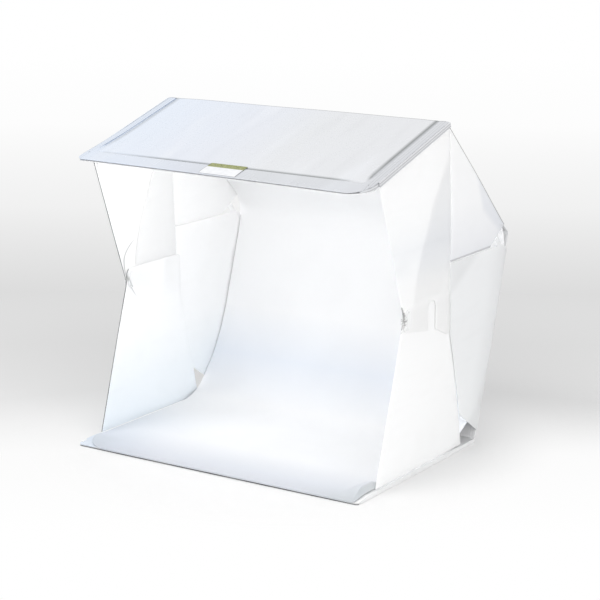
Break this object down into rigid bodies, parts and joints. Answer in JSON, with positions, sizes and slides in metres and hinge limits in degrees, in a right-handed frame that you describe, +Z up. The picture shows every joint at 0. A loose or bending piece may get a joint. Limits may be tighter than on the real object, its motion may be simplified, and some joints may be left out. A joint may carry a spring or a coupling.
{
  "type": "folding light tent",
  "caption": "Small folding photo tent of frosted sheet with a lit sloping roof, a creased back, an open front and a loose curved backdrop.",
  "frame": {"origin": "centre of the outline's underside, on the surface that the tent stands on", "axes": "+X to the tent's right seen from its open front, +Y to the back, +Z up; the front faces -Y"},
  "size_m": [0.2326, 0.2052, 0.2345],
  "materials": {
    "frosted_sheet": "smooth frosted sheet with a soft sheen",
    "roof_sheet": "smooth welded sheet, pale blue-grey, soft gloss",
    "core_board": "plain board",
    "backdrop_sheet": "matt white flexible sheet",
    "diffuser": "frosted strip",
    "circuit_board": "white board with lamps",
    "magnet": "plated bar",
    "hook_tape": "woven tape with fine hooks",
    "socket_metal": "bright folded shell",
    "lead": "flat flexible lead"
  },
  "bodies": {
    "upper_back": {"backdrop_fastener_left": "hook_tape", "backdrop_fastener_right": "hook_tape", "upper_back_panel": "frosted_sheet"},
    "base": {"backdrop_sheet": "backdrop_sheet", "base_board": "core_board", "base_cover": "frosted_sheet", "base_liner": "frosted_sheet"},
    "base_wing_left": {"base_wing_left": "frosted_sheet", "base_wing_magnet_left": "magnet", "base_wing_patch_left": "frosted_sheet"},
    "base_wing_right": {"base_wing_magnet_right": "magnet", "base_wing_patch_right": "frosted_sheet", "base_wing_right": "frosted_sheet"},
    "roof": {"diffuser_front": "diffuser", "diffuser_rear": "diffuser", "driver_board": "circuit_board", "led_board_front": "circuit_board", "led_board_rear": "circuit_board", "led_lead": "lead", "roof_board": "core_board", "roof_cover": "roof_sheet", "roof_liner": "roof_sheet", "roof_strip_left": "roof_sheet", "roof_strip_right": "roof_sheet", "usb_socket": "socket_metal"},
    "lower_back": {"lower_back_panel": "frosted_sheet"},
    "lower_flap_left": {"lower_flap_left": "frosted_sheet"},
    "lower_flap_right": {"lower_flap_right": "frosted_sheet"},
    "roof_wing_left": {"roof_wing_left": "frosted_sheet", "roof_wing_lining_left": "frosted_sheet", "roof_wing_magnet_left": "magnet", "roof_wing_patch_left": "frosted_sheet"},
    "roof_wing_right": {"roof_wing_lining_right": "frosted_sheet", "roof_wing_magnet_right": "magnet", "roof_wing_patch_right": "frosted_sheet", "roof_wing_right": "frosted_sheet"},
    "upper_flap_left": {"upper_flap_left": "frosted_sheet"},
    "upper_flap_right": {"upper_flap_right": "frosted_sheet"}
  },
  "joints": [
    {"name": "fold", "type": "hinge", "parent": "base", "child": "lower_back", "pos_m": [0, 0.05739, 0.0015], "axis": [-1, 0, 0], "range_deg": [0, 69.6], "deforming": ["backdrop_sheet"]},
    {"name": "crease", "type": "hinge", "parent": "lower_back", "child": "upper_back", "pos_m": [0, 0.10194, 0.14368], "axis": [1, 0, 0], "range_deg": [0, 109]},
    {"name": "roof_hinge", "type": "hinge", "parent": "upper_back", "child": "roof", "pos_m": [0, 0.0104, 0.23025], "axis": [-1, 0, 0], "range_deg": [0, 56.2]},
    {"name": "roof_wing_hinge_left", "type": "hinge", "parent": "roof", "child": "roof_wing_left", "pos_m": [-0.115, 0.01048, 0.22997], "axis": [0, 0.9573, 0.289], "range_deg": [0, 90]},
    {"name": "base_wing_hinge_left", "type": "hinge", "parent": "base", "child": "base_wing_left", "pos_m": [-0.1131, 0.05739, 0.0038], "axis": [0, 1, 0], "range_deg": [0, 87]},
    {"name": "upper_flap_hinge_left", "type": "hinge", "parent": "upper_back", "child": "upper_flap_left", "pos_m": [-0.1142, 0.10194, 0.14368], "axis": [0, -0.7266, 0.6871], "range_deg": [0, 87]},
    {"name": "lower_flap_hinge_left", "type": "hinge", "parent": "lower_back", "child": "lower_flap_left", "pos_m": [-0.115, 0.05739, 0.0015], "axis": [0, -0.299, -0.9542], "range_deg": [0, 87]},
    {"name": "roof_wing_hinge_right", "type": "hinge", "parent": "roof", "child": "roof_wing_right", "pos_m": [0.115, 0.01048, 0.22997], "axis": [0, -0.9573, -0.289], "range_deg": [0, 90]},
    {"name": "base_wing_hinge_right", "type": "hinge", "parent": "base", "child": "base_wing_right", "pos_m": [0.1131, 0.05739, 0.0038], "axis": [0, -1, 0], "range_deg": [0, 87]},
    {"name": "upper_flap_hinge_right", "type": "hinge", "parent": "upper_back", "child": "upper_flap_right", "pos_m": [0.1142, 0.10194, 0.14368], "axis": [0, 0.7266, -0.6871], "range_deg": [0, 87]},
    {"name": "lower_flap_hinge_right", "type": "hinge", "parent": "lower_back", "child": "lower_flap_right", "pos_m": [0.115, 0.05739, 0.0015], "axis": [0, 0.299, 0.9542], "range_deg": [0, 87]}
  ],
  "couplings": [
    {"joint": "crease", "follows": "fold", "ratio": 1.5661},
    {"joint": "roof_hinge", "follows": "fold", "ratio": 0.80747},
    {"joint": "roof_wing_hinge_left", "follows": "fold", "ratio": 1.2931},
    {"joint": "base_wing_hinge_left", "follows": "fold", "ratio": 1.25},
    {"joint": "upper_flap_hinge_left", "follows": "fold", "ratio": 1.25},
    {"joint": "lower_flap_hinge_left", "follows": "fold", "ratio": 1.25},
    {"joint": "roof_wing_hinge_right", "follows": "fold", "ratio": 1.2931},
    {"joint": "base_wing_hinge_right", "follows": "fold", "ratio": 1.25},
    {"joint": "upper_flap_hinge_right", "follows": "fold", "ratio": 1.25},
    {"joint": "lower_flap_hinge_right", "follows": "fold", "ratio": 1.25}
  ]
}
